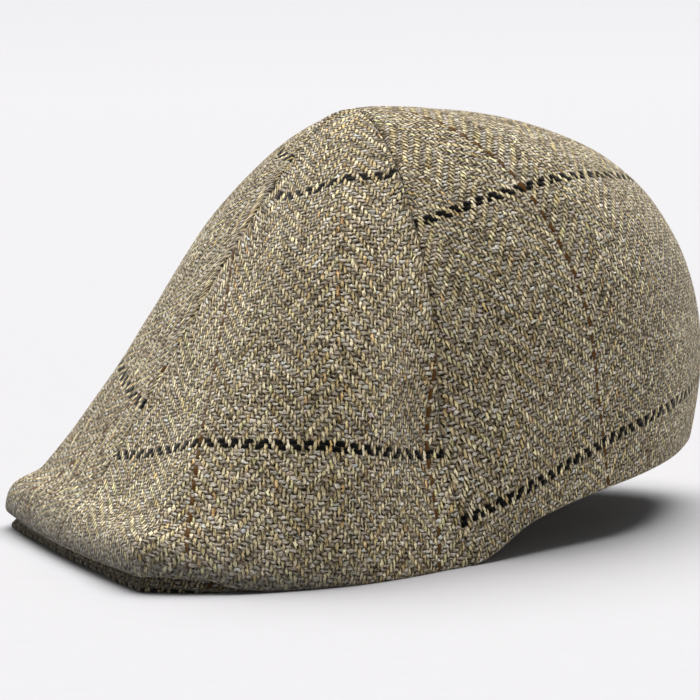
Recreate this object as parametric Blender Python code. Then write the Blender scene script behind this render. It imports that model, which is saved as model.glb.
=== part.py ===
"""A flat cap of the duckbill kind: four cloth panels that meet at an apex and run down
over a stiff peak. Metres, +Z up, the peak toward -Y, the wearer's left toward +X. The cap
stands on z = 0 on the peak's corners and the side hems, and its box is centred on the origin.
"""
import math
from collections import namedtuple

import bmesh
import bpy
from mathutils import Vector

# Driving sizes, in metres. Reaches and the half width are measured in plan from the apex.
# BOARD_END_TAPER is a share: how much of the board's depth is gone at the temples.
PEAK_REACH = 0.130
HALF_WIDTH = 0.0925
BACK_REACH = 0.143
CROWN_HEIGHT = 0.164
BACK_RISE = 0.026
PEAK_ARCH = 0.006
CLOTH_THICKNESS = 0.002
HEM_THICKNESS = 0.0036
HEM_DEPTH = 0.014
BOARD_THICKNESS = 0.0036
BOARD_DEPTH = 0.056
BOARD_SETBACK = 0.0008
BOARD_END_TAPER = 0.96
PIECE_GAP = 0.0003
TIP_RADIUS = 0.0012

# How finely the pieces are divided
PEAK_COLUMNS = 14
TEMPLE_COLUMNS = 4
REAR_COLUMNS = 14
PANEL_ROWS = 24
BOARD_ROWS = 7

# The cap's sections, from the centre front (turn 0) by the side seam (1) to the centre
# back (2). across and along place the foot of the section in plan, as shares of
# HALF_WIDTH and of PEAK_REACH (forward, negative) or BACK_REACH. The foot's height is
# arch of PEAK_ARCH and rise of BACK_RISE. The curve from the apex to the foot is pulled by
# a shoulder and a belly point: out as a share of the section's own reach, lift and height
# as shares of CROWN_HEIGHT, and lead moves the belly along the cap by a share of HALF_WIDTH.
# level is 0 where the edge is cut square to the cloth and 1 where it is level, and hem is 1
# where the cloth is turned up into the full hem.
Section = namedtuple(
    "Section",
    "turn across along arch rise shoulder_out shoulder_lift belly_out belly_height lead level hem",
)
SECTIONS = (
    Section(0.00, 0.000, -1.000, 0.85, 0.00, 0.225, 0.015, 0.660, 0.325, 0.00, 0, 0),
    Section(0.28, 0.755, -0.978, 1.10, 0.00, 0.245, 0.000, 0.580, 0.390, 0.00, 0, 0),
    Section(0.50, 1.030, -0.700, 0.05, 0.00, 0.325, -0.032, 0.790, 0.435, -0.03, 0, 0),
    Section(0.72, 1.100, -0.358, 0.00, 0.00, 0.440, -0.048, 1.050, 0.525, -0.07, 1, 0),
    Section(1.00, 1.000, 0.000, 0.00, 0.00, 0.555, -0.034, 0.945, 0.510, -0.08, 1, 1),
    Section(1.25, 0.920, 0.235, 0.00, 0.50, 0.700, -0.012, 1.080, 0.640, -0.03, 1, 1),
    Section(1.50, 0.795, 0.540, 0.00, 0.80, 0.800, 0.007, 1.175, 0.745, 0.00, 1, 1),
    Section(1.75, 0.470, 0.822, 0.00, 0.95, 0.785, 0.020, 1.180, 0.765, 0.00, 1, 1),
    Section(2.00, 0.000, 1.000, 0.00, 1.00, 0.715, -0.026, 1.185, 0.655, 0.00, 1, 1),
)
FRONT_TURN = SECTIONS[0].turn
TEMPLE_TURN = SECTIONS[3].turn
SIDE_TURN = SECTIONS[4].turn
BACK_TURN = SECTIONS[-1].turn

# The last part of the cloth, as a share of its length, in which the hem's edge is levelled
LEVELLED_SHARE = 0.03

# Colours as linear red, green, blue
TWEED_COLOUR = (0.165, 0.140, 0.100, 1.0)
UNDER_CLOTH_COLOUR = (0.045, 0.045, 0.042, 1.0)
CLOTH_ROUGHNESS = 0.92


def section_sizes(section):
    """The real sizes of one row of the table: foot in plan, foot height, curve."""
    forward = PEAK_REACH if section.along < 0 else BACK_REACH
    return {
        "foot_x": section.across * HALF_WIDTH,
        "foot_y": section.along * forward,
        "foot_z": section.arch * PEAK_ARCH + section.rise * BACK_RISE,
        "shoulder_out": section.shoulder_out,
        "shoulder_z": (1 + section.shoulder_lift) * CROWN_HEIGHT,
        "belly_out": section.belly_out,
        "belly_z": section.belly_height * CROWN_HEIGHT,
        "lead": section.lead * HALF_WIDTH,
        "level": section.level,
        "hem": section.hem,
    }


def smooth_column(values, is_odd):
    """A curve through one column of the table that never overshoots its rows. The cap is
    the same on both sides, so the row beyond each end is the mirrored one."""
    turns = [section.turn for section in SECTIONS]
    sign = -1 if is_odd else 1
    around = [2 * turns[0] - turns[1]] + turns + [2 * turns[-1] - turns[-2]]
    mirrored = [sign * values[1]] + values + [sign * values[-2]]
    slopes = []
    for i in range(1, len(around) - 1):
        before = around[i] - around[i - 1]
        after = around[i + 1] - around[i]
        rise_before = (mirrored[i] - mirrored[i - 1]) / before
        rise_after = (mirrored[i + 1] - mirrored[i]) / after
        if rise_before * rise_after <= 0:
            slopes.append(0.0)
            continue
        weight_before = 2 * after + before
        weight_after = after + 2 * before
        total = weight_before + weight_after
        slopes.append(total / (weight_before / rise_before + weight_after / rise_after))

    def value_at(turn):
        k = 0
        while k < len(turns) - 2 and turn > turns[k + 1]:
            k += 1
        span = turns[k + 1] - turns[k]
        u = (turn - turns[k]) / span
        level = values[k] * (1 + 2 * u) * (1 - u) ** 2 + values[k + 1] * u * u * (3 - 2 * u)
        lean = slopes[k] * u * (1 - u) ** 2 - slopes[k + 1] * u * u * (1 - u)
        return level + span * lean

    return value_at


def make_columns():
    """Every column of the table as a smooth curve round the cap."""
    rows = [section_sizes(section) for section in SECTIONS]
    return {
        name: smooth_column([row[name] for row in rows], name == "foot_x")
        for name in rows[0]
    }


COLUMN = make_columns()


def outer_point(turn, share):
    """A point of the outer cloth, share 0 at the apex and 1 at the foot."""
    pull_shoulder = 3 * (1 - share) ** 2 * share
    pull_belly = 3 * (1 - share) * share ** 2
    pull_foot = share ** 3
    out = (
        pull_shoulder * COLUMN["shoulder_out"](turn)
        + pull_belly * COLUMN["belly_out"](turn)
        + pull_foot
    )
    height = (
        (1 - share) ** 3 * CROWN_HEIGHT
        + pull_shoulder * COLUMN["shoulder_z"](turn)
        + pull_belly * COLUMN["belly_z"](turn)
        + pull_foot * COLUMN["foot_z"](turn)
    )
    along = out * COLUMN["foot_y"](turn) + pull_belly * COLUMN["lead"](turn)
    return Vector((out * COLUMN["foot_x"](turn), along, height))


def inward(turn, share):
    """The direction into the cap, square to the outer cloth."""
    step = 0.0005
    low_turn = max(turn - step, FRONT_TURN)
    high_turn = min(turn + step, BACK_TURN)
    round_the_cap = outer_point(high_turn, share) - outer_point(low_turn, share)
    down_the_cloth = outer_point(turn, share + step) - outer_point(turn, share - step)
    direction = round_the_cap.cross(down_the_cloth).normalized()
    if turn in (FRONT_TURN, BACK_TURN):
        direction.x = 0.0
        direction.normalize()
    return direction


def wall_point(turn, share, depth):
    """A point at a depth below the outer cloth. A hem's edge stays level, and nothing
    reaches below the surface that the cap stands on."""
    point = outer_point(turn, share)
    moved = point + depth * inward(turn, share)
    nearness = max(0.0, 1 - (1 - share) / LEVELLED_SHARE)
    moved.z += COLUMN["level"](turn) * nearness * (point.z - moved.z)
    moved.z = max(moved.z, 0.0)
    return moved


def share_at_radius(turn, radius):
    """Where a section leaves the small round left open at the apex."""
    low, high = 0.0, 0.5
    for _ in range(40):
        middle = (low + high) / 2
        if outer_point(turn, middle).xy.length < radius:
            low = middle
        else:
            high = middle
    return high


def share_above_foot(turn, distance):
    """The share that lies a distance up the cloth from the foot."""
    share, walked, step = 1.0, 0.0, 0.01
    while walked < distance and share > 0.2:
        walked += (outer_point(turn, share) - outer_point(turn, share - step)).length
        share -= step
    return share + step * (walked - distance) / max(walked, distance)


def wall_thickness(turn, share, hem_share):
    """The cloth's wall, which thickens where it is turned up into the hem."""
    into_hem = min(1.0, max(0.0, (share - hem_share) / (1 - hem_share)))
    eased = into_hem * into_hem * (3 - 2 * into_hem)
    return CLOTH_THICKNESS + COLUMN["hem"](turn) * eased * (HEM_THICKNESS - CLOTH_THICKNESS)


def panel_ring(turn, seam_shift):
    """One closed section of a panel: down its outer face and back up its inner face."""
    first = share_at_radius(turn, TIP_RADIUS)
    hem_share = share_above_foot(turn, HEM_DEPTH)
    shares = [first + (1 - first) * row / PANEL_ROWS for row in range(PANEL_ROWS + 1)]
    outer = [outer_point(turn, share) + seam_shift for share in shares]
    inner = [
        wall_point(turn, share, wall_thickness(turn, share, hem_share)) + seam_shift
        for share in shares
    ]
    return outer + inner[::-1]


def even_turns(first, last, columns):
    """Turns at even steps, both ends included."""
    return [first + (last - first) * column / columns for column in range(columns + 1)]


def panel_rings(turns, first_shift, last_shift):
    """The sections of one panel on the wearer's left, drawn back from both its seams."""
    rings = []
    for turn in turns:
        part = (turn - turns[0]) / (turns[-1] - turns[0])
        rings.append(panel_ring(turn, first_shift.lerp(last_shift, part)))
    return rings


def peak_ring(turn):
    """One closed section of the peak: its top, its rounded edge and its underside."""
    nearness = abs(turn) / TEMPLE_TURN
    depth = BOARD_DEPTH * math.sqrt(max(0.0, 1 - BOARD_END_TAPER * nearness ** 2))
    inner_share = share_above_foot(turn, depth)
    edge_share = share_above_foot(turn, BOARD_SETBACK + BOARD_THICKNESS / 4)
    edge_middle = share_above_foot(turn, BOARD_SETBACK)
    top = CLOTH_THICKNESS + PIECE_GAP
    bottom = top + BOARD_THICKNESS
    shares = [
        inner_share + (edge_share - inner_share) * row / BOARD_ROWS
        for row in range(BOARD_ROWS + 1)
    ]
    upper = [outer_point(turn, share) + top * inward(turn, share) for share in shares]
    lower = [outer_point(turn, share) + bottom * inward(turn, share) for share in shares]
    for rows, depth_share in ((upper, 0.25), (lower, 0.75)):
        edge_depth = top + depth_share * BOARD_THICKNESS
        edge = outer_point(turn, edge_middle) + edge_depth * inward(turn, edge_middle)
        rows.append(edge)
    ring = upper + lower[::-1]
    for point in ring:
        point.z = max(point.z, 0.0)
    return ring


def mirrored_rings(rings):
    """The same sections on the other side of the cap."""
    return [[Vector((-p.x, p.y, p.z)) for p in ring] for ring in rings]


def cloth_material(name, colour):
    material = bpy.data.materials.new(name)
    material.use_nodes = True
    shader = material.node_tree.nodes["Principled BSDF"]
    shader.inputs["Base Color"].default_value = colour
    shader.inputs["Roughness"].default_value = CLOTH_ROUGHNESS
    shader.inputs["Metallic"].default_value = 0.0
    return material


def loft(name, rings, colour):
    """A closed solid through sections of equal length, with its two ends closed by strips
    between the facing points of the end sections."""
    form = bmesh.new()
    grid = [[form.verts.new(point) for point in ring] for ring in rings]
    length = len(rings[0])
    for here, there in zip(grid, grid[1:]):
        for i in range(length):
            j = (i + 1) % length
            form.faces.new((here[i], here[j], there[j], there[i]))
    for end in (grid[0], grid[-1]):
        for i in range(length // 2 - 1):
            form.faces.new((end[i], end[i + 1], end[length - 2 - i], end[length - 1 - i]))
    bmesh.ops.recalc_face_normals(form, faces=form.faces)
    mesh = bpy.data.meshes.new(name)
    form.to_mesh(mesh)
    form.free()
    mesh.shade_smooth()
    mesh.set_sharp_from_angle(angle=math.radians(50))
    mesh.materials.append(cloth_material(name + "_cloth", colour))
    piece = bpy.data.objects.new(name, mesh)
    bpy.context.scene.collection.objects.link(piece)
    return piece


def make_panels():
    """The four panels, with half a gap kept on each side of every seam."""
    from_centre = Vector((PIECE_GAP / 2, 0, 0))
    from_side = Vector((0, PIECE_GAP / 2, 0))
    over_peak = even_turns(FRONT_TURN, TEMPLE_TURN, PEAK_COLUMNS)
    past_temple = even_turns(TEMPLE_TURN, SIDE_TURN, TEMPLE_COLUMNS)
    behind = even_turns(SIDE_TURN, BACK_TURN, REAR_COLUMNS)
    front = panel_rings(over_peak[:-1] + past_temple, from_centre, -from_side)
    rear = panel_rings(behind, from_side, from_centre)
    return [
        loft("front_panel_left", front, TWEED_COLOUR),
        loft("front_panel_right", mirrored_rings(front), TWEED_COLOUR),
        loft("rear_panel_left", rear, TWEED_COLOUR),
        loft("rear_panel_right", mirrored_rings(rear), TWEED_COLOUR),
    ]


def make_peak():
    """The stiff board with the under cloth, from temple to temple."""
    half = [peak_ring(turn) for turn in even_turns(FRONT_TURN, TEMPLE_TURN, PEAK_COLUMNS)]
    rings = mirrored_rings(half)[:0:-1] + half
    return loft("peak", rings, UNDER_CLOTH_COLOUR)


def centre_on_origin(pieces):
    """Move the whole cap along Y so that its box is centred on the origin."""
    along = [vertex.co.y for piece in pieces for vertex in piece.data.vertices]
    shift = -(min(along) + max(along)) / 2
    for piece in pieces:
        for vertex in piece.data.vertices:
            vertex.co.y += shift


def main():
    for item in list(bpy.data.objects):
        bpy.data.objects.remove(item)
    pieces = make_panels()
    pieces.append(make_peak())
    centre_on_origin(pieces)


main()
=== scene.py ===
"""The looks of a tweed flat cap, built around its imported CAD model.

Each cloth panel is a fine mesh over the same sections as its solid, with sewn seams, a rolled
edge and soft unevenness. Its yarns are counted in an attribute, which the cloth material reads.
"""
import math
from collections import namedtuple

import bpy
import numpy as np
from mathutils import Matrix, Vector, noise


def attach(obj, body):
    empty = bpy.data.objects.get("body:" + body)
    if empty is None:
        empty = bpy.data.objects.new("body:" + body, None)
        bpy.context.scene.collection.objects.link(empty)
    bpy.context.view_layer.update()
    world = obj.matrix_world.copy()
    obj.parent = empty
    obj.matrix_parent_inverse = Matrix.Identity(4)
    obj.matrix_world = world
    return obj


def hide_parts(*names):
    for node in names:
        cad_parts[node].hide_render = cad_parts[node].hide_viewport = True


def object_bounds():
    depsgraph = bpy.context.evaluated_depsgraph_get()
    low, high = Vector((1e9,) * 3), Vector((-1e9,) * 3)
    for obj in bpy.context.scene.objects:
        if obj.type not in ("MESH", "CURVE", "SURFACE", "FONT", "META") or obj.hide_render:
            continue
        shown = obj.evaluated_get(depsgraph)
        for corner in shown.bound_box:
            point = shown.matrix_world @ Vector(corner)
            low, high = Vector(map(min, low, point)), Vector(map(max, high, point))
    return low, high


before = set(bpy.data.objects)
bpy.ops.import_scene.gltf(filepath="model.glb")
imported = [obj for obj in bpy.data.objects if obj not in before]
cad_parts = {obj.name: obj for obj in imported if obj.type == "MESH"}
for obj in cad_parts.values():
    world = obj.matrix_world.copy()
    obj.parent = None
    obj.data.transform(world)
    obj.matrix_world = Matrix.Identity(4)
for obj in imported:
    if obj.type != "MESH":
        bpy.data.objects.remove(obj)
cad_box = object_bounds()

# The cap's sizes in metres and its sections, the same as the solids'
PEAK_REACH = 0.130
HALF_WIDTH = 0.0925
BACK_REACH = 0.143
CROWN_HEIGHT = 0.164
BACK_RISE = 0.026
PEAK_ARCH = 0.006
CLOTH_THICKNESS = 0.002
BOARD_THICKNESS = 0.0036
BOARD_DEPTH = 0.056
BOARD_END_TAPER = 0.96
PIECE_GAP = 0.0003

Section = namedtuple(
    "Section",
    "turn across along arch rise shoulder_out shoulder_lift belly_out belly_height lead",
)
SECTIONS = (
    Section(0.00, 0.000, -1.000, 0.85, 0.00, 0.225, 0.015, 0.660, 0.325, 0.00),
    Section(0.28, 0.755, -0.978, 1.10, 0.00, 0.245, 0.000, 0.580, 0.390, 0.00),
    Section(0.50, 1.030, -0.700, 0.05, 0.00, 0.325, -0.032, 0.790, 0.435, -0.03),
    Section(0.72, 1.100, -0.358, 0.00, 0.00, 0.440, -0.048, 1.050, 0.525, -0.07),
    Section(1.00, 1.000, 0.000, 0.00, 0.00, 0.555, -0.034, 0.945, 0.510, -0.08),
    Section(1.25, 0.920, 0.235, 0.00, 0.50, 0.700, -0.012, 1.080, 0.640, -0.03),
    Section(1.50, 0.795, 0.540, 0.00, 0.80, 0.800, 0.007, 1.175, 0.745, 0.00),
    Section(1.75, 0.470, 0.822, 0.00, 0.95, 0.785, 0.020, 1.180, 0.765, 0.00),
    Section(2.00, 0.000, 1.000, 0.00, 1.00, 0.715, -0.026, 1.185, 0.655, 0.00),
)
FRONT_TURN = 0.0
TEMPLE_TURN = 0.72
SIDE_TURN = 1.0
BACK_TURN = 2.0

# The edge round the cap: how far up the cloth its roll stops above the foot, the roll's
# radius, how far the cloth is turned under, how far it puffs out there, how far the under
# cloth's own roll is set back from the foot, or with a minus stands out past it, and that
# roll's radius.
Edge = namedtuple("Edge", "turn lift roll lip puff setback under")
EDGES = (
    Edge(0.00, 0.0012, 0.0030, 0.009, 0.0024, 0.0002, 0.0016),
    Edge(0.12, 0.0010, 0.0030, 0.009, 0.0024, 0.0004, 0.0016),
    Edge(0.20, 0.0004, 0.0033, 0.009, 0.0038, -0.0009, 0.0016),
    Edge(0.30, 0.0002, 0.0033, 0.009, 0.0042, -0.0010, 0.0016),
    Edge(0.37, 0.0030, 0.0028, 0.008, 0.0024, 0.0002, 0.0018),
    Edge(0.43, 0.0042, 0.0025, 0.007, 0.0014, 0.0002, 0.0020),
    Edge(0.49, 0.0016, 0.0025, 0.007, 0.0010, 0.0002, 0.0018),
    Edge(0.55, 0.0002, 0.0024, 0.007, 0.0008, 0.0004, 0.0013),
    Edge(0.63, 0.0000, 0.0022, 0.007, 0.0004, 0.0004, 0.0010),
    Edge(0.72, 0.0000, 0.0019, 0.010, 0.0000, 0.0002, 0.0008),
    Edge(0.85, 0.0000, 0.0017, 0.013, 0.0000, 0.0002, 0.0008),
    Edge(2.00, 0.0000, 0.0017, 0.013, 0.0000, 0.0002, 0.0008),
)

# How gradually the cloth thins above its turned edge, how far up the puff reaches and where
# it is fullest, and how much of it is left at the edge
LIP_FADE = 0.005
PUFF_REACH = 0.022
PUFF_TOP = 0.009
PUFF_LEFT_AT_EDGE = 0.1

# Wear and painted shade on the edge, as darkening grey fluff: how far up the cloth it goes, and
# how it fades out round the temples
WEAR_AND_SHADE_REACH = 0.0065
WEAR_AND_SHADE_FADE_START = 0.15
WEAR_AND_SHADE_FADE_LENGTH = 0.25

# Shallow hollows in the cloth: where each lies, how far it reaches and how deep it is
Hollow = namedtuple("Hollow", "turn share half_turn half_share depth")
HOLLOWS = (
    Hollow(0.96, 0.79, 0.12, 0.12, 0.0076),
    Hollow(0.79, 0.87, 0.12, 0.11, 0.0036),
    Hollow(1.44, 0.87, 0.14, 0.12, 0.0042),
    Hollow(1.22, 0.30, 0.10, 0.14, 0.0010),
)

# Unevenness all over the cloth: how deep it is, and how close together its waves are
FINE_DEPTH = 0.00035
FINE_WAVES = 42.0
BROAD_DEPTH = 0.0009
BROAD_WAVES = 15.0

# How finely a panel is divided, and how its rows crowd toward an end
PANEL_COLUMNS = 150
PANEL_ROWS = 168
PANEL_CROWDING = 0.92
INNER_ROWS = 40
INNER_CROWDING = 1.5
ROLL_STEPS = 10
FIRST_SHARE = 0.0015
MEASURING_STEPS = 241

# How the search for a place above the foot is divided
HIGHEST_SHARE = 0.3
SHARE_STEPS = 181

# How the flat cloth is divided, and how often its points are moved to lay it flat
FLAT_COLUMNS = 25
FLAT_ROWS = 41
FLAT_FIRST_SHARE = 0.02
FLAT_ROUNDS = 60

# The under cloth: how it is divided, its least depth, where its board begins and how soon
# it is at its full thickness, how near the temples it stops, its black line's place, and
# how far its picks are shifted on the upper side, which is hidden
UNDER_COLUMNS = 61
UNDER_ROWS = 24
UNDER_CROWDING = 1.4
UNDER_LEAST_DEPTH = 0.008
BOARD_START = 0.003
BOARD_RISE = 0.012
BOARD_STOP = 0.9
UNDER_LINE = 0.0042
UNDER_HIDDEN_SHIFT = 0.02

# A seam: points close to it, the rounded edge, the allowance pressed open under it, how much
# of a short row those points may take, and the puckers
SEAM_STEPS = (0.0001, 0.0004, 0.0008, 0.0012, 0.0017, 0.0023, 0.0031, 0.0042)
SEAM_DEPTH = 0.0014
SEAM_HALF_WIDTH = 0.0018
SEAM_ALLOWANCE = 0.0055
SEAM_RIDGE = 0.00022
SEAM_RIDGE_EDGE = 0.0008
SEAM_MOST_OF_ROW = 0.3
PUCKER = 0.0003
PUCKER_REACH = 0.007
PUCKER_WAVES = 130.0

# Seams grow faint near the apex, where a panel's rows are short, and over the peak
APEX_ROW = 0.014
PEAK_TURN = 0.5
PEAK_SHARE = 0.45
PEAK_SHARE_REACH = 0.40
PEAK_SEAM_LOSS = 0.6

# The weave: a two-over-two herringbone with an overcheck, counted in yarns
HERRINGBONE_ENDS = 10
CHECK_ENDS = 70
CHECK_PICKS = 66

# Where each panel's overcheck falls on the flat cloth, in metres: the brown end nearest the
# panel's middle, two black picks a check apart, the pitch of the ends, and how far the cloth
# was pulled askew: the warp's slant, the picks' bow, and their slant.
Check = namedtuple("Check", "brown first_black second_black pitch warp_slant bow pick_slant")
CHECKS = {
    "front_panel_left": Check(0.0480, -0.0487, -0.1545, 0.00145, 0.148, 1.3, 0.0),
    "front_panel_right": Check(0.0144, -0.0300, -0.1345, 0.00145, 0.148, 1.3, 0.0),
    "rear_panel_left": Check(0.0035, -0.0730, -0.1750, 0.00127, -0.0745, 0.0, 0.28),
    "rear_panel_right": Check(0.0035, -0.0350, -0.1390, 0.00127, -0.0745, 0.0, 0.28),
}

# The picks' bow grows toward the apex, and their slant grows from the foot up
BOW_LEVEL = 0.048
BOW_TOP = 0.012
BOW_FADE = 0.030
BOW_GROWTH = 8
SLANT_FOOT = 0.175
SLANT_RISE = 0.103
SLANT_MOST = 1.3


def section_sizes(section):
    """The real sizes of one row of the table: foot in plan, foot height, curve."""
    forward = PEAK_REACH if section.along < 0 else BACK_REACH
    return {
        "foot_x": section.across * HALF_WIDTH,
        "foot_y": section.along * forward,
        "foot_z": section.arch * PEAK_ARCH + section.rise * BACK_RISE,
        "shoulder_out": section.shoulder_out,
        "shoulder_z": (1 + section.shoulder_lift) * CROWN_HEIGHT,
        "belly_out": section.belly_out,
        "belly_z": section.belly_height * CROWN_HEIGHT,
        "lead": section.lead * HALF_WIDTH,
    }


def smooth_column(values, is_odd):
    """A curve through one column of the table that never overshoots its rows."""
    turns = np.array([section.turn for section in SECTIONS])
    sign = -1 if is_odd else 1
    around = np.concatenate([[2 * turns[0] - turns[1]], turns, [2 * turns[-1] - turns[-2]]])
    mirrored = np.concatenate([[sign * values[1]], values, [sign * values[-2]]])
    steps = np.diff(around)
    rises = np.diff(mirrored) / steps
    slopes = []
    for before, after, rise_before, rise_after in zip(steps, steps[1:], rises, rises[1:]):
        if rise_before * rise_after <= 0:
            slopes.append(0.0)
            continue
        weight_before = 2 * after + before
        weight_after = after + 2 * before
        total = weight_before + weight_after
        slopes.append(total / (weight_before / rise_before + weight_after / rise_after))
    slopes = np.array(slopes)
    levels = np.array(values)

    def value_at(turn):
        """The curve's value at a turn."""
        k = np.clip(np.searchsorted(turns, turn, side="right") - 1, 0, len(turns) - 2)
        span = turns[k + 1] - turns[k]
        u = (turn - turns[k]) / span
        level = levels[k] * (1 + 2 * u) * (1 - u) ** 2 + levels[k + 1] * u * u * (3 - 2 * u)
        lean = slopes[k] * u * (1 - u) ** 2 - slopes[k + 1] * u * u * (1 - u)
        return level + span * lean

    return value_at


def make_columns():
    """Every column of the table as a smooth curve round the cap."""
    rows = [section_sizes(section) for section in SECTIONS]
    return {
        name: smooth_column([row[name] for row in rows], name == "foot_x")
        for name in rows[0]
    }


COLUMN = make_columns()


def outer_points(turn, share):
    """Points of the outer cloth, share 0 at the apex and 1 at the foot."""
    pull_shoulder = 3 * (1 - share) ** 2 * share
    pull_belly = 3 * (1 - share) * share ** 2
    pull_foot = share ** 3
    out = (
        pull_shoulder * COLUMN["shoulder_out"](turn)
        + pull_belly * COLUMN["belly_out"](turn)
        + pull_foot
    )
    height = (
        (1 - share) ** 3 * CROWN_HEIGHT
        + pull_shoulder * COLUMN["shoulder_z"](turn)
        + pull_belly * COLUMN["belly_z"](turn)
        + pull_foot * COLUMN["foot_z"](turn)
    )
    along = out * COLUMN["foot_y"](turn) + pull_belly * COLUMN["lead"](turn)
    return np.stack([out * COLUMN["foot_x"](turn), along, height], -1)


def unit(vectors):
    """Vectors at length one."""
    return vectors / np.maximum(np.linalg.norm(vectors, axis=-1, keepdims=True), 1e-12)


def eased(part):
    """A smooth step from 0 to 1."""
    part = np.clip(part, 0, 1)
    return part * part * (3 - 2 * part)


def cloth_axes(turn, share):
    """The direction down the cloth and the direction into the cap."""
    step = 0.0005
    low_turn = np.maximum(turn - step, FRONT_TURN)
    high_turn = np.minimum(turn + step, BACK_TURN)
    round_the_cap = outer_points(high_turn, share) - outer_points(low_turn, share)
    down = outer_points(turn, share + step) - outer_points(turn, share - step)
    into = np.cross(round_the_cap, down)
    on_middle = (turn <= FRONT_TURN) | (turn >= BACK_TURN)
    into[..., 0] = np.where(on_middle, 0.0, into[..., 0])
    return unit(down), unit(into)


def running_length(points, axis):
    """How far along a line each of its points lies."""
    steps = np.linalg.norm(np.diff(points, axis=axis), axis=-1)
    start = np.zeros_like(np.take(steps, [0], axis=axis))
    return np.concatenate([start, np.cumsum(steps, axis=axis)], axis=axis)


def edge_value(turn, name):
    """One column of the edge table, eased between its rows."""
    turns = np.array([edge.turn for edge in EDGES])
    levels = np.array([getattr(edge, name) for edge in EDGES])
    turn = np.abs(turn)
    k = np.clip(np.searchsorted(turns, turn, side="right") - 1, 0, len(turns) - 2)
    part = eased((turn - turns[k]) / (turns[k + 1] - turns[k]))
    return levels[k] + (levels[k + 1] - levels[k]) * part


def share_above_foot(turn, distance):
    """The share at a distance up the cloth from the foot."""
    shares = np.linspace(HIGHEST_SHARE, 1.0, SHARE_STEPS)
    walked = running_length(outer_points(turn[:, None], shares[None, ::-1]), 1)
    return np.array([
        np.interp(reach, line, shares[::-1]) for reach, line in zip(distance, walked)
    ])


def uneven(points, scale, seed):
    """Soft noise from -1 to 1 at points in metres."""
    shift = Vector((seed * 7.3, seed * 3.1, seed * 5.7))
    flat = points.reshape(-1, 3).tolist()
    values = [noise.noise(Vector(point) * scale + shift) for point in flat]
    return np.array(values).reshape(points.shape[:-1])


def panel_places(first_turn, last_turn):
    """The turn and share of each point of a panel's outer face, closer together at its seams,
    with each point's distance from the nearer seam and the length of its row."""
    fine = np.linspace(first_turn, last_turn, MEASURING_STEPS)
    last_share = share_above_foot(fine, edge_value(fine, "lift") + edge_value(fine, "roll"))
    edge = np.array(SEAM_STEPS)
    inside = PANEL_COLUMNS - 2 * len(edge)
    turns, shares, distances, lengths = [], [], [], []
    for part in np.linspace(0, 1, PANEL_ROWS) ** PANEL_CROWDING:
        row_share = FIRST_SHARE + part * (last_share - FIRST_SHARE)
        walked = running_length(outer_points(fine, row_share), 0)
        length = walked[-1]
        steps = edge * min(1.0, SEAM_MOST_OF_ROW * length / edge[-1])
        middle = np.linspace(steps[-1], length - steps[-1], inside + 2)[1:-1]
        places = np.concatenate([steps, middle, length - steps[::-1]])
        turns.append(np.interp(places, walked, fine))
        shares.append(np.interp(places, walked, row_share))
        distances.append(np.minimum(places, length - places))
        lengths.append(np.full_like(places, length))
    return tuple(np.array(rows) for rows in (turns, shares, distances, lengths))


def seam_profile(distance):
    """How deep the cloth lies below its own curve near a seam: a rounded edge, then the
    faint ridge of the allowance pressed open under it."""
    near = np.clip(distance / SEAM_HALF_WIDTH, 0, 1)
    dip = SEAM_DEPTH * (1 - np.sqrt(1 - (1 - near) ** 2))
    over = np.clip((distance - SEAM_ALLOWANCE) / SEAM_RIDGE_EDGE, -30, 30)
    return dip - SEAM_RIDGE / (1 + np.exp(over)) * near


def puffed(above, puff):
    """How far the cloth stands out near the edge: most a little above the edge, from where
    it turns down into the roll."""
    rising = 1 - eased((above - PUFF_TOP) / (PUFF_REACH - PUFF_TOP))
    below = np.clip(1 - above / PUFF_TOP, 0, 1)
    return puff * (rising - (1 - PUFF_LEFT_AT_EDGE) * below ** 2)


def relief(turn, share, points, seam_distance, row_length):
    """How far the cloth lies below its smooth curve, the same on both sides of a seam."""
    strength = np.clip(row_length / APEX_ROW, 0, 1)
    over_peak = eased((share - PEAK_SHARE) / PEAK_SHARE_REACH) * (turn < PEAK_TURN)
    strength = strength * (1 - PEAK_SEAM_LOSS * over_peak)
    near_seam = np.exp(-seam_distance / PUCKER_REACH)
    pucker = PUCKER * uneven(points, PUCKER_WAVES, seed=9) * near_seam
    sink = seam_profile(seam_distance) * strength + pucker * strength
    fine = FINE_DEPTH * uneven(points, FINE_WAVES, seed=1)
    sink += fine + BROAD_DEPTH * uneven(points, BROAD_WAVES, seed=4)
    for hollow in HOLLOWS:
        aside = (turn - hollow.turn) / hollow.half_turn
        lower = (share - hollow.share) / hollow.half_share
        sink += hollow.depth * np.exp(-aside ** 2 - lower ** 2)
    return sink


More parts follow.
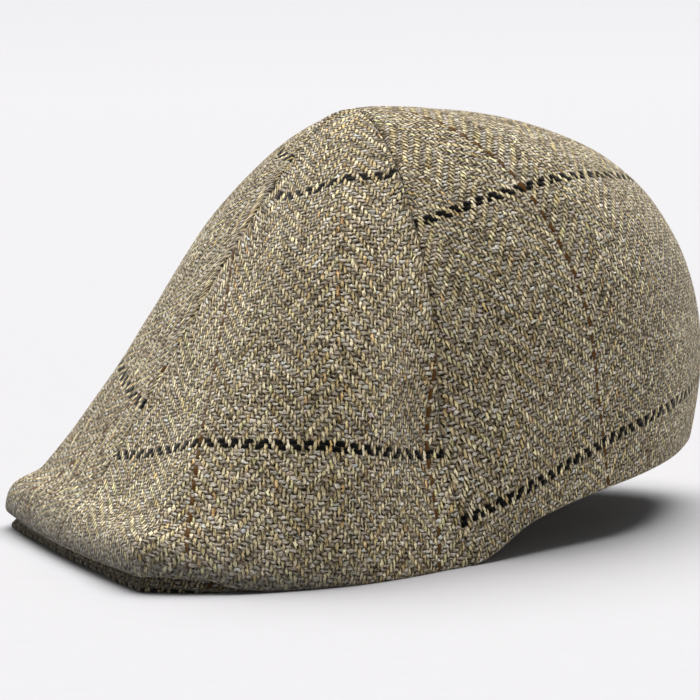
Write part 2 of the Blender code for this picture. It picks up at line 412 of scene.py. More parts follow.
def flatten(points):
    """Lay a grid of points flat with as little stretch as it can: each triangle keeps its
    shape as well as its neighbours let it."""
    rows, columns = points.shape[:2]
    index = np.arange(rows * columns).reshape(rows, columns)
    a, b = index[:-1, :-1].ravel(), index[:-1, 1:].ravel()
    c, d = index[1:, 1:].ravel(), index[1:, :-1].ravel()
    corners = np.concatenate([np.stack([a, c, b], 1), np.stack([a, d, c], 1)])
    solid = points.reshape(-1, 3)
    first = solid[corners[:, 1]] - solid[corners[:, 0]]
    second = solid[corners[:, 2]] - solid[corners[:, 0]]
    length = np.linalg.norm(first, axis=1)
    local = np.zeros((len(corners), 3, 2))
    local[:, 1, 0] = length
    local[:, 2, 0] = (first * second).sum(1) / length
    local[:, 2, 1] = np.linalg.norm(np.cross(first, second), axis=1) / length
    cotangent = np.zeros((len(corners), 3))
    for k in range(3):
        one = local[:, (k + 1) % 3] - local[:, k]
        two = local[:, (k + 2) % 3] - local[:, k]
        cross = one[:, 0] * two[:, 1] - one[:, 1] * two[:, 0]
        cotangent[:, k] = (one * two).sum(1) / cross
    size = len(solid)
    laplacian = np.zeros((size, size))
    for k in range(3):
        i, j = corners[:, (k + 1) % 3], corners[:, (k + 2) % 3]
        for one, two, sign in ((i, i, 1), (j, j, 1), (i, j, -1), (j, i, -1)):
            np.add.at(laplacian, (one, two), sign * cotangent[:, k])
    laplacian[0, 0] += 1.0
    inverse = np.linalg.inv(laplacian)
    middle = columns // 2
    down = running_length(points[:, middle], 0)
    across = running_length(points, 1)
    across = across - across[:, middle:middle + 1]
    flat = np.stack([across, -np.repeat(down[:, None], columns, 1)], -1).reshape(-1, 2)
    for _ in range(FLAT_ROUNDS):
        spread = np.zeros((len(corners), 2, 2))
        for k in range(3):
            i, j = (k + 1) % 3, (k + 2) % 3
            moved = flat[corners[:, i]] - flat[corners[:, j]]
            kept = local[:, i] - local[:, j]
            spread += cotangent[:, k, None, None] * moved[:, :, None] * kept[:, None, :]
        twist = spread[:, 1, 0] - spread[:, 0, 1]
        angle = np.arctan2(twist, spread[:, 0, 0] + spread[:, 1, 1])
        cosine, sine = np.cos(angle)[:, None], np.sin(angle)[:, None]
        pull = np.zeros((size, 2))
        for k in range(3):
            i, j = (k + 1) % 3, (k + 2) % 3
            kept = local[:, i] - local[:, j]
            turned = cosine * kept + sine * np.stack([-kept[:, 1], kept[:, 0]], 1)
            edge = cotangent[:, k, None] * turned
            np.add.at(pull, corners[:, i], edge)
            np.add.at(pull, corners[:, j], -edge)
        flat = inverse @ pull
    flat = flat.reshape(rows, columns, 2)
    flat -= flat[0, middle]
    foot = flat[-1, middle]
    angle = math.atan2(foot[0], -foot[1])
    cosine, sine = math.cos(angle), math.sin(angle)
    return flat @ np.array([[cosine, sine], [-sine, cosine]]).T


def flat_cloth(first_turn, last_turn):
    """A function from turn and share to the place on a panel's flat cloth."""
    turns = np.linspace(first_turn, last_turn, FLAT_COLUMNS)
    shares = np.linspace(FLAT_FIRST_SHARE, 1.0, FLAT_ROWS)
    grid = flatten(outer_points(turns[None, :], shares[:, None]))

    def place_at(turn, share):
        """The place on the flat cloth, between the grid's points."""
        column = np.clip((turn - turns[0]) / (turns[1] - turns[0]), 0, len(turns) - 1.001)
        row = np.clip((share - shares[0]) / (shares[1] - shares[0]), 0, len(shares) - 1.001)
        i, j = row.astype(int), column.astype(int)
        u, v = (column - j)[..., None], (row - i)[..., None]
        upper = grid[i, j] * (1 - u) + grid[i, j + 1] * u
        lower = grid[i + 1, j] * (1 - u) + grid[i + 1, j + 1] * u
        return upper * (1 - v) + lower * v

    return place_at


def picks_per_metre(check):
    """How many picks of the weft there are to a metre of cloth."""
    return CHECK_PICKS / (check.first_black - check.second_black)


def yarn_count(flat, check):
    """The end and the pick at each place of the flat cloth. The overcheck's brown end is
    end 0 and its first black pick is pick 0."""
    across, down = flat[..., 0], flat[..., 1]
    end = (across + check.warp_slant * down - check.brown) / check.pitch
    upper = np.exp(np.minimum(down + BOW_LEVEL, BOW_TOP) / BOW_FADE)
    bow = check.bow * (1 + BOW_GROWTH * upper) * across ** 2
    rise = np.clip((SLANT_FOOT + down) / SLANT_RISE, 0, SLANT_MOST)
    slant = check.pick_slant * rise * across
    pick = check.first_black - (down - bow + slant)
    return end, pick * picks_per_metre(check)


def mesh_piece(name, points, faces, yarns, wear_and_shade):
    """A mesh piece that keeps its yarn count and its mix of wear and painted shade as
    attributes.
    """
    mesh = bpy.data.meshes.new(name)
    mesh.from_pydata(points.reshape(-1, 3).tolist(), [], faces)
    mesh.update()
    counted = mesh.attributes.new("yarn", "FLOAT_VECTOR", "POINT")
    counted.data.foreach_set("vector", yarns.astype(np.float32).ravel())
    worn_and_shaded = mesh.attributes.new("wear_and_shade", "FLOAT", "POINT")
    worn_and_shaded.data.foreach_set("value", wear_and_shade.astype(np.float32).ravel())
    mesh.shade_smooth()
    piece = bpy.data.objects.new(name, mesh)
    bpy.context.scene.collection.objects.link(piece)
    return piece


def tube_faces(rows, columns, end_faces, is_right):
    """Faces of a grid whose rows close into a loop. Its two ends are filled with faces that
    are given as lists of rows."""
    index = np.arange(rows * columns).reshape(rows, columns)
    after = np.roll(index, -1, axis=0)
    corners = [index[:, :-1], after[:, :-1], after[:, 1:], index[:, 1:]]
    faces = np.stack(corners, -1).reshape(-1, 4).tolist()
    for end_face in end_faces:
        faces.append(index[end_face[::-1], 0].tolist())
        faces.append(index[end_face, -1].tolist())
    if is_right:
        faces = [face[::-1] for face in faces]
    return faces


def panel_end_faces(picked, first_inner):
    """The rows of each face across a panel's thickness, at a seam."""
    end_faces = [list(range(picked[0], first_inner + 1))]
    for k in range(len(picked) - 1):
        outer = list(range(picked[k + 1], picked[k] + 1))
        end_faces.append(outer + [first_inner + k, first_inner + k + 1])
    return end_faces


def pad_end_faces(rows):
    """The rows of each face across the end of a pad whose two sides have as many rows."""
    end_faces = [[i, i + 1, rows - 2 - i, rows - 1 - i] for i in range(rows // 2 - 1)]
    return end_faces + [[rows // 2 - 1, rows // 2, rows // 2 + 1]]


def half_roll(outer_edge, down, into, radius):
    """Points round a half circle that turns an edge under, without its two ends."""
    centre = outer_edge + into * radius
    angles = [math.pi * step / ROLL_STEPS for step in range(1, ROLL_STEPS)]
    return np.array([
        centre + radius * (down * math.sin(angle) - into * math.cos(angle))
        for angle in angles
    ])


def cloth_panel(name, first_turn, last_turn, place_at, seed, shift):
    """One panel as a closed sheet of cloth: outer face, rolled foot, inner face."""
    is_right = name.endswith("right")
    turn, share, seam_distance, row_length = panel_places(first_turn, last_turn)
    base = outer_points(turn, share)
    into = cloth_axes(turn, share)[1]
    last = turn[-1]
    above = running_length(base[::-1], 0)[::-1]
    in_place = base * np.array([-1 if is_right else 1, 1, 1])
    sink = relief(turn, share, in_place, seam_distance, row_length)
    sink -= puffed(above, edge_value(last, "puff"))
    outer = base + into * sink[..., None]
    radius = edge_value(last, "roll")[:, None]
    lie = unit(outer[-1] - outer[-2])
    edge_into = unit(into[-1] - (into[-1] * lie).sum(-1, keepdims=True) * lie)
    roll = half_roll(outer[-1], lie, edge_into, radius)

    parts = 1 - (np.arange(INNER_ROWS) / (INNER_ROWS - 1)) ** INNER_CROWDING
    picked = np.unique(np.round(parts * (PANEL_ROWS - 1)).astype(int))[::-1]
    fade = eased((above[picked] - edge_value(last, "lip")) / LIP_FADE)
    thickness = 2 * radius[:, 0] * (1 - fade) + CLOTH_THICKNESS * fade
    by_edge = (1 - eased(above[picked] / PUFF_TOP))[..., None]
    inward = unit(into[picked] * (1 - by_edge) + edge_into * by_edge)
    inner = outer[picked] + inward * thickness[..., None]

    points = np.concatenate([outer, roll, inner])
    points[..., 2] = np.maximum(points[..., 2], 0.0)
    points[..., 1] += shift
    if is_right:
        points[..., 0] *= -1

    check = CHECKS[name]
    end, pick = yarn_count(place_at(turn, share), check)
    steps = np.arange(1, ROLL_STEPS)[:, None]
    roll_length = math.pi * radius[:, 0] * steps / ROLL_STEPS
    roll_end = np.repeat(end[-1:], ROLL_STEPS - 1, axis=0)
    roll_pick = pick[-1] + roll_length * picks_per_metre(check)
    ends = np.concatenate([end, roll_end, end[picked]])
    picks = np.concatenate([pick, roll_pick, 2 * roll_pick[-1] - pick[picked]])
    yarns = np.stack([ends, picks, np.full_like(ends, seed)], -1)

    # Wear and painted shade: darker grey fluff toward the foot over the peak, fading out round
    # the temples
    from_foot = np.concatenate([above, np.zeros_like(roll_end), np.zeros_like(end[picked])])
    over_peak = 1 - eased((last - TEMPLE_TURN + WEAR_AND_SHADE_FADE_START) / WEAR_AND_SHADE_FADE_LENGTH)
    wear_and_shade = np.exp(-from_foot / WEAR_AND_SHADE_REACH) * over_peak

    first_inner = len(points) - len(picked)
    end_faces = panel_end_faces(picked.tolist(), first_inner)
    faces = tube_faces(*points.shape[:2], end_faces, is_right)
    return mesh_piece(name + "_cloth", points, faces, yarns, wear_and_shade)


def peak_underside(name, seed, shift):
    """The under cloth over its board: a thin pad under the front panels' cloth, with a
    rolled edge of its own below theirs."""
    half = np.linspace(FRONT_TURN, TEMPLE_TURN, UNDER_COLUMNS)
    radius = edge_value(half, "under")
    nearness = half / TEMPLE_TURN
    depth = BOARD_DEPTH * np.sqrt(1 - BOARD_END_TAPER * nearness ** 2)
    setback = edge_value(half, "setback")
    edge_share = share_above_foot(half, setback + radius)
    inner_share = share_above_foot(half, np.maximum(depth, setback + UNDER_LEAST_DEPTH))
    parts = (np.arange(UNDER_ROWS) / (UNDER_ROWS - 1))[:, None]
    share = edge_share + (inner_share - edge_share) * parts ** UNDER_CROWDING
    turn = np.repeat(half[None, :], UNDER_ROWS, axis=0)
    base = outer_points(turn, share)
    down, into = cloth_axes(turn, share)
    above = running_length(base, 0) + radius + setback
    fade = eased((above - edge_value(half, "lip") - edge_value(half, "lift")) / LIP_FADE)
    edge_puff = PUFF_LEFT_AT_EDGE * edge_value(half, "puff")
    under_roll = 2 * edge_value(half, "roll") - edge_puff + PIECE_GAP
    top = under_roll * (1 - fade) + (CLOTH_THICKNESS + PIECE_GAP) * fade
    grown = eased((above - setback - BOARD_START) / BOARD_RISE)
    body = 2 * radius + (BOARD_THICKNESS - 2 * radius) * grown
    body = np.where(nearness > BOARD_STOP, 2 * radius, body)
    upper = base + into * top[..., None]
    lower = base + into * (top + body)[..., None]
    roll = half_roll(upper[0], down[0], into[0], radius[:, None])
    points = np.concatenate([upper[::-1], roll, lower])
    points[..., 2] = np.maximum(points[..., 2], 0.0)

    along_edge = running_length(outer_points(half, edge_share), 0)
    check = CHECKS["front_panel_left"]
    end = np.repeat((along_edge / check.pitch)[None, :], len(points), axis=0)
    steps = np.arange(1, ROLL_STEPS)[:, None]
    roll_length = math.pi * radius * steps / ROLL_STEPS
    upper_side = above[::-1] + UNDER_HIDDEN_SHIFT
    picks = np.concatenate([upper_side, -roll_length, -math.pi * radius - above])
    pick = (picks + UNDER_LINE) * picks_per_metre(check)
    yarns = np.stack([end, pick, np.full_like(end, seed)], -1)
    wear_and_shade = np.zeros_like(end)

    points = np.concatenate([points[:, :0:-1] * np.array([-1, 1, 1]), points], axis=1)
    yarns = np.concatenate([yarns[:, :0:-1] * np.array([-1, 1, 1]), yarns], axis=1)
    wear_and_shade = np.concatenate([wear_and_shade[:, :0:-1], wear_and_shade], axis=1)
    points[..., 1] += shift
    faces = tube_faces(*points.shape[:2], pad_end_faces(len(points)), False)
    return mesh_piece(name, points, faces, yarns, wear_and_shade)


class Number:
    """A number in a shader, so that a shader's sums read as plain ones."""

    def __init__(self, graph, socket):
        self.graph = graph
        self.socket = socket

    def __add__(self, other):
        return self.graph.math("ADD", self, other)

    def __sub__(self, other):
        return self.graph.math("SUBTRACT", self, other)

    def __rsub__(self, other):
        return self.graph.math("SUBTRACT", other, self)

    def __mul__(self, other):
        return self.graph.math("MULTIPLY", self, other)

    def __truediv__(self, other):
        return self.graph.math("DIVIDE", self, other)

    def __pow__(self, other):
        return self.graph.math("POWER", self, other)

    def __lt__(self, other):
        return self.graph.math("LESS_THAN", self, other)

    def __mod__(self, other):
        return self.graph.math("FLOORED_MODULO", self, other)

    __radd__ = __add__
    __rmul__ = __mul__

    def floor(self):
        """The whole number at or below it."""
        return self.graph.math("FLOOR", self)

    def clamp(self):
        """The number kept from 0 to 1."""
        return self.graph.math("ADD", self, 0.0, clamp=True)


class Graph:
    """The nodes of one material, made with short calls."""

    def __init__(self, name):
        self.material = bpy.data.materials.new(name)
        self.material.use_nodes = True
        self.tree = self.material.node_tree
        self.shader = self.tree.nodes["Principled BSDF"]

    def put(self, socket, value):
        """Set a socket to a value, or link it to where its value comes from."""
        if isinstance(value, Number):
            value = value.socket
        if isinstance(value, bpy.types.NodeSocket):
            self.tree.links.new(value, socket)
        else:
            socket.default_value = value

    def math(self, operation, *values, clamp=False):
        """A number worked out from others."""
        node = self.tree.nodes.new("ShaderNodeMath")
        node.operation = operation
        node.use_clamp = clamp
        for socket, value in zip(node.inputs, values):
            self.put(socket, value)
        return Number(self, node.outputs[0])

    def attribute(self, name):
        """The node that reads a mesh's attribute."""
        node = self.tree.nodes.new("ShaderNodeAttribute")
        node.attribute_name = name
        return node

    def split(self, vector):
        """The three numbers of a vector."""
        node = self.tree.nodes.new("ShaderNodeSeparateXYZ")
        self.put(node.inputs[0], vector)
        return tuple(Number(self, socket) for socket in node.outputs)

    def join(self, *parts):
        """A vector of up to three numbers."""
        node = self.tree.nodes.new("ShaderNodeCombineXYZ")
        for socket, value in zip(node.inputs, parts):
            self.put(socket, value)
        return node.outputs[0]

    def random(self, *parts):
        """A value from 0 to 1 that is the same wherever the parts are the same."""
        node = self.tree.nodes.new("ShaderNodeTexWhiteNoise")
        self.put(node.inputs["Vector"], self.join(*parts))
        return Number(self, node.outputs["Value"])

    def cloud(self, vector, scale, detail=2.0):
        """Soft noise about a middle of 0.5."""
        node = self.tree.nodes.new("ShaderNodeTexNoise")
        node.inputs["Scale"].default_value = scale
        node.inputs["Detail"].default_value = detail
        self.put(node.inputs["Vector"], vector)
        return Number(self, node.outputs["Fac"])

    def mix(self, factor, first, second, kind="MIX"):
        """Two colours mixed."""
        node = self.tree.nodes.new("ShaderNodeMix")
        node.data_type = "RGBA"
        node.blend_type = kind
        self.put(node.inputs[0], factor)
        self.put(node.inputs[6], first)
        self.put(node.inputs[7], second)
        return node.outputs[2]

    def choose(self, factor, stops):
        """A colour from a list of stops, blended between them."""
        node = self.tree.nodes.new("ShaderNodeValToRGB")
        elements = node.color_ramp.elements
        while len(elements) < len(stops):
            elements.new(0.5)
        for element, (place, colour) in zip(elements, stops):
            element.position = place
            element.color = (*colour, 1.0)
        self.put(node.inputs[0], factor)
        return node.outputs[0]

    def dome(self, off):
        """The height of a round yarn across its width, and far down outside it."""
        inside = 1.0 - off * off
        body = self.math("SQRT", self.math("MAXIMUM", inside, 0.0)) * 0.5
        return body + (inside < 0.0) * -2.0

    def shade(self, colour, factor, darkest):
        """A colour darkened where a soft noise is low."""
        stops = ((0.3, darkest), (0.7, (1.0, 1.0, 1.0)))
        return self.mix(1.0, colour, self.choose(factor, stops), "MULTIPLY")


# How yarns wander sideways, along the ends and along the picks: how often and how far
END_WANDER = ((0.21, 1.0), (1.3, 0.8))
PICK_WANDER = ((0.27, 0.9), (1.2, 0.8))

# How the picks beside the black line make room for it: from how far before the line this is
# counted, how quickly it fades, and how much wider the line is
BEFORE_LINE = 30.0
LINE_MIDDLE = 1.0
LINE_FADE = -0.2
LINE_SWELL = 0.18

# A yarn's shape, in yarns: half its width, how far and how often that varies, how ragged its
# sides are, how high it rises on the other yarns, and how that varies
YARN_HALF = 0.32
YARN_HALF_VARIES = 0.16
YARN_WAVES = 0.30
YARN_APART = 5.3
RAGGED = 0.45
RISE = 0.50
TIGHTNESS = 0.30
LOWEST = -0.4

# The check's yarns are thicker and stand higher than the rest
BROWN_WIDER = 0.24
BROWN_HIGHER = 0.36
BLACK_WIDER = 0.14
BLACK_HIGHER = 0.27

# How large the fibres, the strands of a yarn, the clumps and the fluff are, and how a yarn
# differs along its length
FIBRE_WAVES = 1.4
STRAND_ALONG = 0.8
STRAND_ACROSS = 2.2
CLUMP_WAVES = 0.42
FLUFF_WAVES = 1.2
LENGTH_APART = 3.7
LENGTH_WAVES = 0.35

# How light the yarns are, and how much that differs by float, yarn, length, clump and fibre
WARP_TONE = 0.87
WEFT_TONE = 0.73
DARKEST_TONE = 0.08
TONE_BY_FLOAT = 0.24
TONE_BY_YARN = 0.06
TONE_BY_LENGTH = 0.20
TONE_BY_CLUMP = 0.72
TONE_BY_FIBRE = 0.35
TONE_BY_STRAND = 0.45
TONE_POWER = 2.2

# Painted shade down the yarns' rounded sides and in the gaps between them: where it begins, how
# much that differs by strand, how deep it goes and how dark it is
GAP_TOP = 0.86
GAP_BY_STRAND = 0.45
GAP_DEPTH = 0.84
GAP_SHADE = 0.87

# How a yarn's hue differs by float, yarn and length
HUE_BY_FLOAT = 0.6
HUE_BY_YARN = 0.4
HUE_BY_LENGTH = 0.5

# Loose hairs: how long and how thin they are, how many show, and how much they cover
HAIR_ALONG = 0.45
HAIR_ACROSS = 2.4
HAIR_LEVEL = 0.60
HAIR_SHARPNESS = 7.0
HAIR_COVER = 0.42

# The colours
WARP_HUES = (
    (0.00, (1.00, 0.62, 0.28)),
    (0.14, (1.00, 0.80, 0.42)),
    (0.45, (1.00, 0.88, 0.54)),
    (0.70, (1.00, 0.85, 0.60)),
    (0.88, (0.98, 0.94, 0.50)),
    (1.00, (1.00, 0.70, 0.26)),
)
WEFT_HUES = (
    (0.00, (1.00, 0.83, 0.65)),
    (0.25, (1.00, 0.90, 0.76)),
    (0.50, (0.96, 0.94, 0.82)),
    (0.72, (1.00, 0.88, 0.70)),
    (0.90, (0.88, 0.93, 0.88)),
    (1.00, (1.00, 0.85, 0.84)),
)
TONE_TINTS = (
    (0.00, (1.00, 0.70, 0.30)),
    (0.35, (1.00, 0.85, 0.60)),
    (0.75, (1.00, 0.96, 0.90)),
    (1.00, (0.96, 0.98, 1.00)),
)
BLACK_YARN = (0.004, 0.004, 0.004, 1.0)
BROWN_YARN = (0.110, 0.046, 0.008, 1.0)
BROWN_COVER = 1.1
BROWN_COVER_BY_STRAND = 0.8
HAIR_COLOUR = (0.360, 0.320, 0.250, 1.0)
# Grey fluff along the edge: partly wear and partly painted shade
FLUFF_AND_SHADE_COLOURS = ((0.40, (0.012, 0.012, 0.012)), (0.62, (0.200, 0.195, 0.175)))
FLUFF_AND_SHADE_COVER = 0.75
# Painted shade: the under cloth's copy of the tweed is darkened toward this colour, as it lies
# in shade under the peak
SHADOW_COLOUR = (0.012, 0.012, 0.012, 1.0)
UNDER_PAINTED_SHADE = 0.62
BROAD_SHADE = (0.82, 0.82, 0.83)
BROAD_SHADE_WAVES = 0.045

# The cloth's surface
CLOTH_ROUGHNESS = 0.88
ROUGHNESS_BY_FIBRE = 0.2
SPECULAR = 0.05
SHEEN = 0.22
SHEEN_ROUGHNESS = 0.4
SHEEN_TINT = (1.0, 0.95, 0.86, 1.0)
BUMP_HEIGHT = 0.0006
BUMP_BY_FIBRE = 0.35
BUMP_BY_STRAND = 0.25
BUMP_LOST_TO_WEAR = 0.5


def tweed_material(name, painted_shade):
    """Herringbone tweed, woven in the shader from the yarn count, with painted shade in the
    gaps between its yarns. A copy can be darkened all over as painted shade.
    """
    g = Graph(name)
    end, pick, seed = g.split(g.attribute("yarn").outputs["Vector"])
    wear_and_shade = Number(g, g.attribute("wear_and_shade").outputs["Fac"])
    place = g.join(end, pick, seed * 13.0)

    # Yarns wander, and the picks beside the black line make room for it
    a = end
    for waves, reach in END_WANDER:
        a = a + (g.cloud(place, waves, 1.0) - 0.5) * reach
    other = g.join(pick, end, seed * 9.0)
    b = pick
    for waves, reach in PICK_WANDER:
        b = b + (g.cloud(other, waves, 1.0) - 0.5) * reach
    from_line = (b + BEFORE_LINE) % float(CHECK_PICKS) - (BEFORE_LINE + LINE_MIDDLE)
    b = b - from_line * g.math("EXPONENT", from_line * from_line * LINE_FADE) * LINE_SWELL
    i, j = a.floor(), b.floor()
    parity = (i / HERRINGBONE_ENDS).floor() % 2.0
    way = 1.0 - parity * 2.0
    brown = (i % float(CHECK_ENDS)) < 1.0
    black = (j % float(CHECK_PICKS)) < 2.0
    fibre_place = g.join(a * FIBRE_WAVES, b * FIBRE_WAVES, seed)
    fibres = (g.cloud(fibre_place, 1.0) - 0.5) * 2.0

    # Two sets of round yarns, each going over two and under two of the other
    warp_cycle = way * i + b + parity
    weft_cycle = way * a + j + parity * 2.0
    warp_rise = g.math("SINE", warp_cycle * (math.pi / 2))
    weft_rise = g.math("SINE", weft_cycle * (math.pi / 2)) * -1.0
    warp_varies = g.cloud(g.join(i * YARN_APART, b, seed), YARN_WAVES, 1.0)
    weft_varies = g.cloud(g.join(a, j * YARN_APART, seed), YARN_WAVES, 1.0)
    warp_half = YARN_HALF + warp_varies * YARN_HALF_VARIES + brown * BROWN_WIDER
    weft_half = YARN_HALF + weft_varies * YARN_HALF_VARIES + black * BLACK_WIDER
    warp_off = (a - i - 0.5 + fibres * RAGGED) / warp_half
    weft_off = (b - j - 0.5 + fibres * RAGGED) / weft_half
    warp_float = (warp_cycle / 4.0).floor()
    weft_float = (weft_cycle / 4.0).floor()
    warp_tight = g.random(i, warp_float, seed + 7.0) * TIGHTNESS - TIGHTNESS / 2
    weft_tight = g.random(j, weft_float, seed + 8.0) * TIGHTNESS - TIGHTNESS / 2
    warp_height = warp_rise * RISE + g.dome(warp_off) + warp_tight + brown * BROWN_HIGHER
    weft_height = weft_rise * RISE + g.dome(weft_off) + weft_tight + black * BLACK_HIGHER
    warp_up = weft_height < warp_height
    height = g.math("MAXIMUM", g.math("MAXIMUM", warp_height, weft_height), LOWEST)

    # Colours: each yarn, each float and the fibres in it differ
    yarn_number = j + warp_up * (i - j + 57.0)
    cycle = weft_float + warp_up * (warp_float - weft_float)
    run = a + warp_up * (b - a)
    by_yarn = g.random(yarn_number, seed, 3.0)
    by_float = g.random(yarn_number, cycle, seed)
    length_place = g.join(yarn_number * LENGTH_APART, run * LENGTH_WAVES, seed)
    by_length = g.cloud(length_place, 1.0)
    turned = STRAND_ACROSS - STRAND_ALONG
    strand_a = a * (STRAND_ALONG + warp_up * turned)
    strand_b = b * (STRAND_ACROSS - warp_up * turned)
    strands = (g.cloud(g.join(strand_a, strand_b, seed + 31.0), 1.0) - 0.5) * 2.0
    clumps = g.cloud(g.join(a * CLUMP_WAVES, b * CLUMP_WAVES, seed + 41.0), 1.0)
    tone = WEFT_TONE + warp_up * (WARP_TONE - WEFT_TONE)
    tone = tone + (by_float - 0.5) * TONE_BY_FLOAT + (by_yarn - 0.5) * TONE_BY_YARN
    tone = tone + (by_length - 0.5) * TONE_BY_LENGTH + (clumps - 0.5) * TONE_BY_CLUMP
    tone = tone + fibres * TONE_BY_FIBRE + strands * TONE_BY_STRAND
    # Painted shade: each yarn darkens down its rounded sides and into the gaps between the
    # yarns
    gap_shade = ((GAP_TOP - height - strands * GAP_BY_STRAND) / GAP_DEPTH).clamp()
    tone = g.math("MAXIMUM", tone, DARKEST_TONE) * (1.0 - gap_shade * GAP_SHADE)
    lightness = tone ** TONE_POWER
    hue = g.random(yarn_number, cycle, seed + 5.0) * HUE_BY_FLOAT + by_yarn * HUE_BY_YARN
    hue = hue + (by_length - 0.5) * HUE_BY_LENGTH
    colour = g.mix(warp_up, g.choose(hue, WEFT_HUES), g.choose(hue, WARP_HUES))
    # All tones are tinted by lightness, so the painted shade in the gaps turns warmer
    colour = g.mix(1.0, colour, g.choose(tone, TONE_TINTS), "MULTIPLY")
    colour = g.mix(1.0, colour, g.join(lightness, lightness, lightness), "MULTIPLY")

    # Loose hairs lie over the yarns, slanting both ways, and the check's yarns show plainly
    rising = g.join((a + b) * HAIR_ALONG, (a - b) * HAIR_ACROSS, seed + 51.0)
    falling = g.join((a + b) * HAIR_ACROSS, (a - b) * HAIR_ALONG, seed + 52.0)
    hairs = g.math("MAXIMUM", g.cloud(rising, 1.0), g.cloud(falling, 1.0))
    hairs = ((hairs - HAIR_LEVEL) * HAIR_SHARPNESS).clamp()
    colour = g.mix(hairs * HAIR_COVER, colour, HAIR_COLOUR)
    cover = warp_up * brown * (BROWN_COVER + strands * BROWN_COVER_BY_STRAND)
    colour = g.mix(cover.clamp(), colour, BROWN_YARN)
    colour = g.mix((1.0 - warp_up) * black, colour, BLACK_YARN)

    # Broad shading of the cloth, and grey fluff along the edge: partly wear and partly painted
    # shade on the roll that turns under
    colour = g.shade(colour, g.cloud(place, BROAD_SHADE_WAVES), BROAD_SHADE)
    fluff_place = g.join(a * FLUFF_WAVES, b * FLUFF_WAVES, seed)
    fluff_and_shade = g.choose(g.cloud(fluff_place, 1.0), FLUFF_AND_SHADE_COLOURS)
    colour = g.mix(wear_and_shade * FLUFF_AND_SHADE_COVER, colour, fluff_and_shade)
    # Painted shade: a copy of the tweed darkened all over toward a shadow colour
    if painted_shade:
        colour = g.mix(painted_shade, colour, SHADOW_COLOUR)
    g.put(g.shader.inputs["Base Color"], colour)
    g.put(g.shader.inputs["Roughness"], CLOTH_ROUGHNESS + fibres * ROUGHNESS_BY_FIBRE)
    g.put(g.shader.inputs["Specular IOR Level"], SPECULAR)
    g.put(g.shader.inputs["Sheen Weight"], SHEEN)
    g.put(g.shader.inputs["Sheen Roughness"], SHEEN_ROUGHNESS)
    g.put(g.shader.inputs["Sheen Tint"], SHEEN_TINT)
    bump = g.tree.nodes.new("ShaderNodeBump")
    bump.inputs["Strength"].default_value = 1.0
    bump.inputs["Distance"].default_value = BUMP_HEIGHT
    raised = height * (1.0 - wear_and_shade * BUMP_LOST_TO_WEAR)
    raised = raised + fibres * BUMP_BY_FIBRE + strands * BUMP_BY_STRAND
    g.put(bump.inputs["Height"], raised)
    g.put(g.shader.inputs["Normal"], bump.outputs["Normal"])
    return g.material


# The floor is level out to a circle, and past it rises into a low backdrop all round
LEVEL_RADIUS = 3.5
FLOOR_RADIUS = 9.5
BACKDROP_HEIGHT = 1.7
FLOOR_SIDES = 96
BACKDROP_RINGS = 16
FLOOR_COLOUR = (0.46, 0.46, 0.47)
FLOOR_ROUGHNESS = 0.9
GRAIN_WAVES = 90.0
GRAIN_SHADE = 0.985


def floor_material():
    """An even pale card with a faint grain."""
    g = Graph("pale_floor")
    place = g.tree.nodes.new("ShaderNodeTexCoord").outputs["Object"]
    darker = tuple(level * GRAIN_SHADE for level in FLOOR_COLOUR)
    grain = g.choose(g.cloud(place, GRAIN_WAVES), ((0.3, darker), (0.7, FLOOR_COLOUR)))
    g.put(g.shader.inputs["Base Color"], grain)
    g.put(g.shader.inputs["Roughness"], FLOOR_ROUGHNESS)
    return g.material


def make_floor():
    """A pale floor with a low backdrop, as one mesh."""
    points = [(0.0, 0.0, 0.0)]
    for ring in range(BACKDROP_RINGS + 1):
        part = ring / BACKDROP_RINGS
        radius = LEVEL_RADIUS + (FLOOR_RADIUS - LEVEL_RADIUS) * part
        for side in range(FLOOR_SIDES):
            angle = 2 * math.pi * side / FLOOR_SIDES
            height = BACKDROP_HEIGHT * part ** 2
            points.append((radius * math.cos(angle), radius * math.sin(angle), height))
    faces = []
    for side in range(FLOOR_SIDES):
        after = (side + 1) % FLOOR_SIDES
        faces.append((0, 1 + side, 1 + after))
        for ring in range(BACKDROP_RINGS):
            inner = 1 + ring * FLOOR_SIDES
            outer = inner + FLOOR_SIDES
            faces.append((inner + side, outer + side, outer + after, inner + after))
    mesh = bpy.data.meshes.new("floor")
    mesh.from_pydata(points, [], faces)
    mesh.shade_smooth()
    mesh.materials.append(floor_material())
    floor = bpy.data.objects.new("floor", mesh)
    bpy.context.scene.collection.objects.link(floor)


# The camera that the photograph was taken with, as fitted to the cap's outline and seams
CAMERA_AZIMUTH = math.radians(65.4)
CAMERA_ELEVATION = math.radians(7.6)
CAMERA_ROLL = math.radians(-1.3)
CAMERA_DISTANCE = 1.2
CAMERA_LENS = 157.7
SENSOR_WIDTH = 36.0
CAMERA_ASIDE = -0.00427
AIM_HEIGHT = 0.070


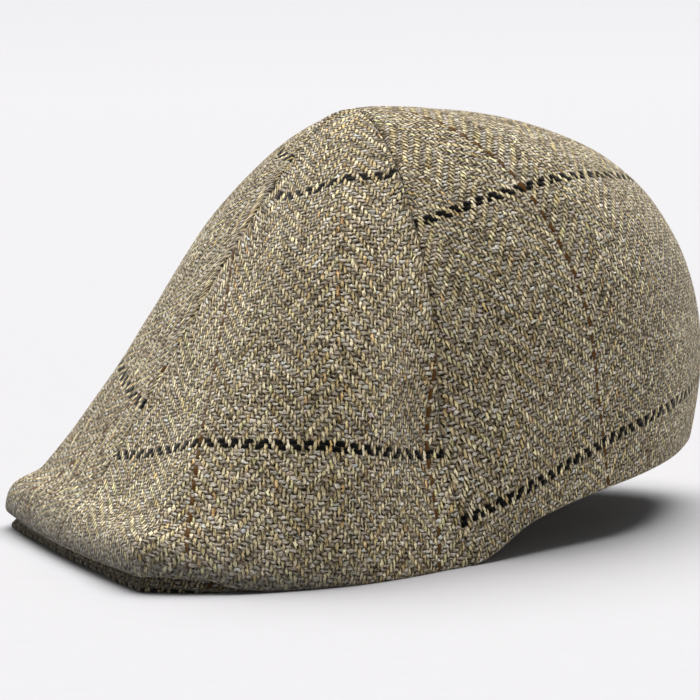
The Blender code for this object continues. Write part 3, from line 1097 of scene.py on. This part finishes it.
def make_camera(shift):
    """The camera, with the cap where the photograph shows it."""
    back = Vector((
        math.sin(CAMERA_AZIMUTH) * math.cos(CAMERA_ELEVATION),
        -math.cos(CAMERA_AZIMUTH) * math.cos(CAMERA_ELEVATION),
        math.sin(CAMERA_ELEVATION),
    ))
    level = Vector((math.cos(CAMERA_AZIMUTH), math.sin(CAMERA_AZIMUTH), 0.0))
    upright = back.cross(level)
    right = level * math.cos(CAMERA_ROLL) + upright * math.sin(CAMERA_ROLL)
    up = upright * math.cos(CAMERA_ROLL) - level * math.sin(CAMERA_ROLL)
    place = Vector((0.0, shift, AIM_HEIGHT)) + CAMERA_ASIDE * right + CAMERA_DISTANCE * back
    lens = bpy.data.cameras.new("camera")
    lens.sensor_width = SENSOR_WIDTH
    lens.lens = CAMERA_LENS
    camera = bpy.data.objects.new("camera", lens)
    turned = Matrix((right, up, back)).transposed().to_4x4()
    camera.matrix_world = Matrix.Translation(place) @ turned
    bpy.context.scene.collection.objects.link(camera)
    bpy.context.scene.camera = camera


# One soft light comes evenly from a round part of the sky, and a faint one from all round
LIGHT_TOWARDS = (-0.27, 0.18, 1.0)
LIGHT_SPREAD = math.radians(60)
LIGHT_POWER = 5.8
LIGHT_COLOUR = (1.0, 0.985, 0.985)
SKY_COLOUR = (1.0, 1.0, 1.0, 1.0)
SKY_STRENGTH = 0.14


def make_light():
    """The studio light."""
    world = bpy.data.worlds.new("studio")
    world.use_nodes = True
    background = world.node_tree.nodes["Background"]
    background.inputs["Color"].default_value = SKY_COLOUR
    background.inputs["Strength"].default_value = SKY_STRENGTH
    bpy.context.scene.world = world
    lamp = bpy.data.lights.new("top", "SUN")
    lamp.angle = LIGHT_SPREAD
    lamp.energy = LIGHT_POWER
    lamp.color = LIGHT_COLOUR
    light = bpy.data.objects.new("top", lamp)
    light.rotation_euler = Vector(LIGHT_TOWARDS).to_track_quat("Z", "Y").to_euler()
    bpy.context.scene.collection.objects.link(light)
    bpy.context.scene.view_settings.view_transform = "Standard"


def main():
    """Camera, light and floor, then the four panels and the under cloth."""
    shift = cad_box[0][1] + PEAK_REACH
    make_camera(shift)
    make_light()
    make_floor()
    tweed = tweed_material("herringbone_tweed", 0.0)
    # The under cloth's tweed is a copy darkened all over as painted shade
    under = tweed_material("under_tweed_painted_shade", UNDER_PAINTED_SHADE)
    front = flat_cloth(FRONT_TURN, SIDE_TURN)
    rear = flat_cloth(SIDE_TURN, BACK_TURN)
    panels = (
        ("front_panel_left", FRONT_TURN, SIDE_TURN, front, 1),
        ("front_panel_right", FRONT_TURN, SIDE_TURN, front, 2),
        ("rear_panel_left", SIDE_TURN, BACK_TURN, rear, 3),
        ("rear_panel_right", SIDE_TURN, BACK_TURN, rear, 4),
    )
    for node, first_turn, last_turn, place_at, seed in panels:
        piece = cloth_panel(node, first_turn, last_turn, place_at, seed, shift)
        piece.data.materials.append(tweed)
        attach(piece, "root")
        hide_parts(node)
    piece = peak_underside("peak_under_cloth", 5, shift)
    piece.data.materials.append(under)
    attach(piece, "root")
    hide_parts("peak")


main()
